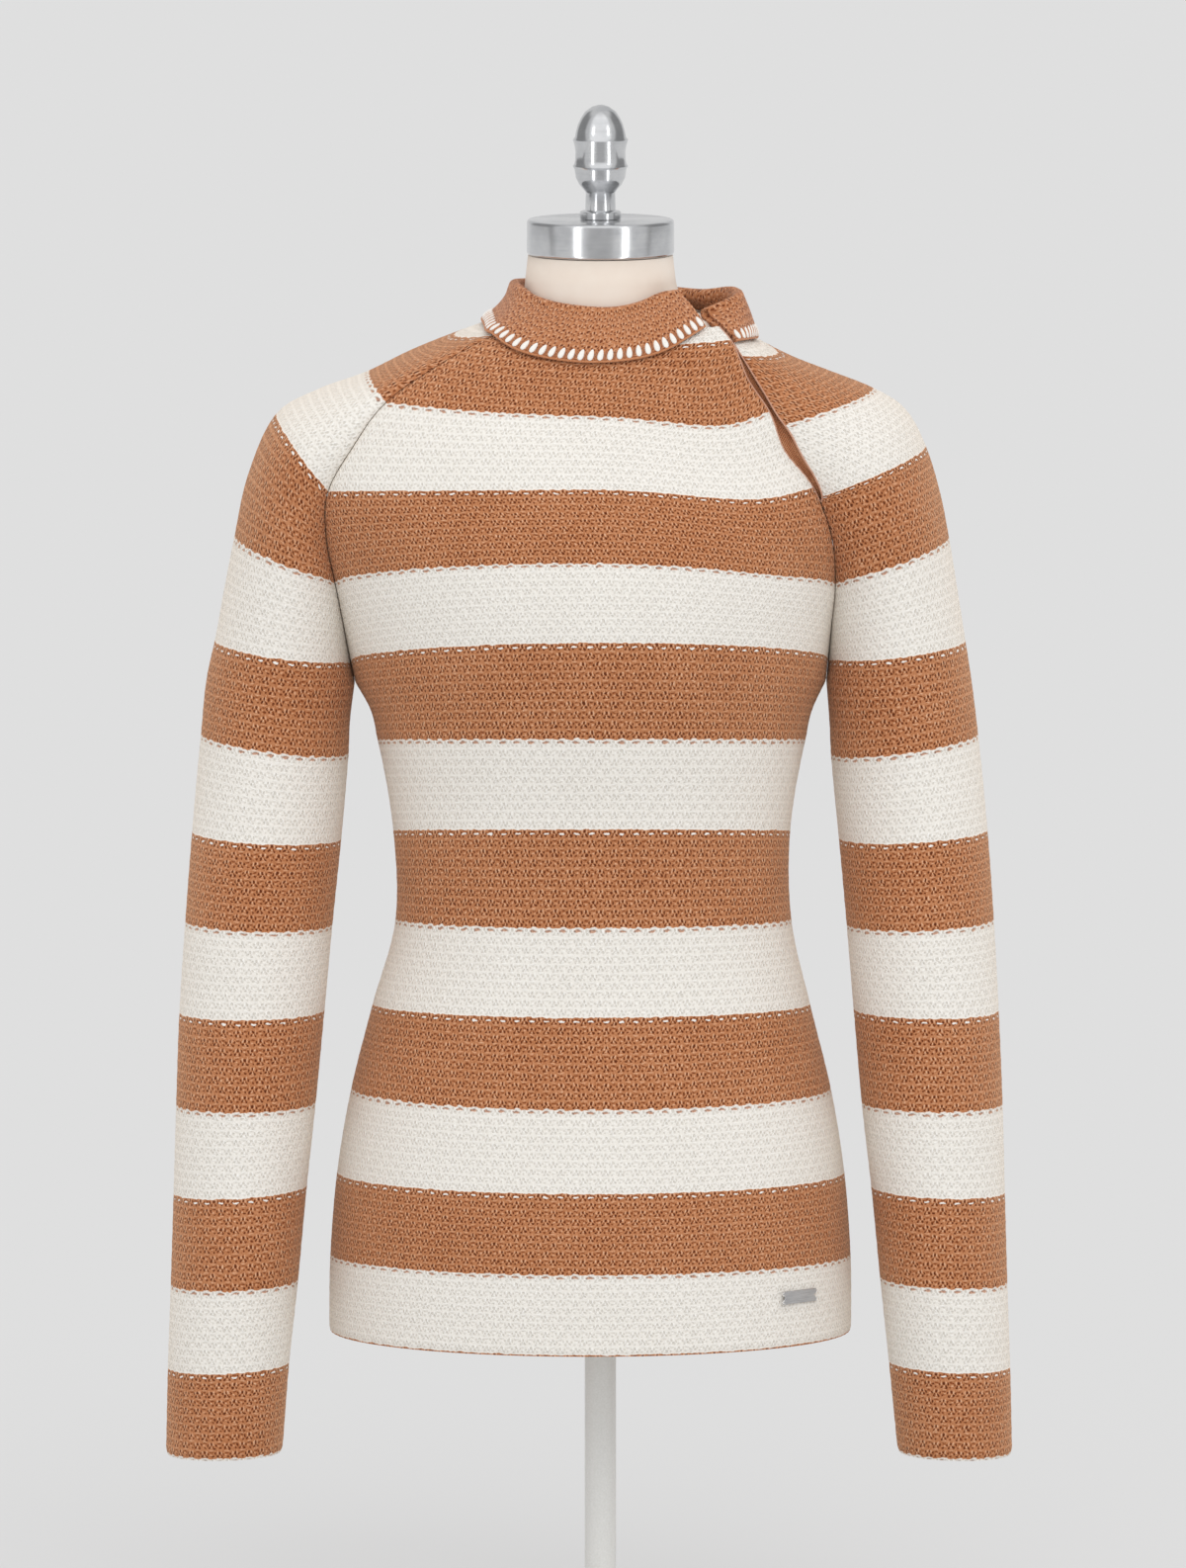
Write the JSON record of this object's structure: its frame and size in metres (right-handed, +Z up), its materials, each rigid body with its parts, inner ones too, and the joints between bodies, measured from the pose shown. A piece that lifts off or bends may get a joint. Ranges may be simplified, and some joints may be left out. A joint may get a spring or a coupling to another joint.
{
  "type": "striped raglan sweater on a dress form",
  "caption": "Striped knitted raglan sweater with a split fold-over collar, worn by a smooth limbless dress form on a round foot.",
  "frame": {"origin": "middle of the underside of the stand's foot, on the surface that the part stands on", "axes": "+Z up, -Y out of the chest, so the wearer's left is +X and the back is +Y"},
  "size_m": [0.5148, 0.26, 0.9357],
  "materials": {
    "brown_knit": "matt slip-stitch cotton knit, warm brown",
    "cream_knit": "matt slip-stitch cotton knit, off-white",
    "form_canvas": "smooth pale canvas skin",
    "brushed_aluminium": "brushed",
    "pale_painted_steel": "pale satin powder coat"
  },
  "bodies": {
    "root": {"front": "cream_knit", "back": "cream_knit", "sleeve_right": "brown_knit", "sleeve_left": "brown_knit", "collar": "brown_knit", "opening_facing": "brown_knit", "sewn_plate": "brushed_aluminium", "form_torso": "form_canvas", "neck_cap": "brushed_aluminium", "finial": "brushed_aluminium", "stand_foot": "pale_painted_steel", "stand_flange": "pale_painted_steel", "stand_pole": "pale_painted_steel"}
  },
  "joints": []
}
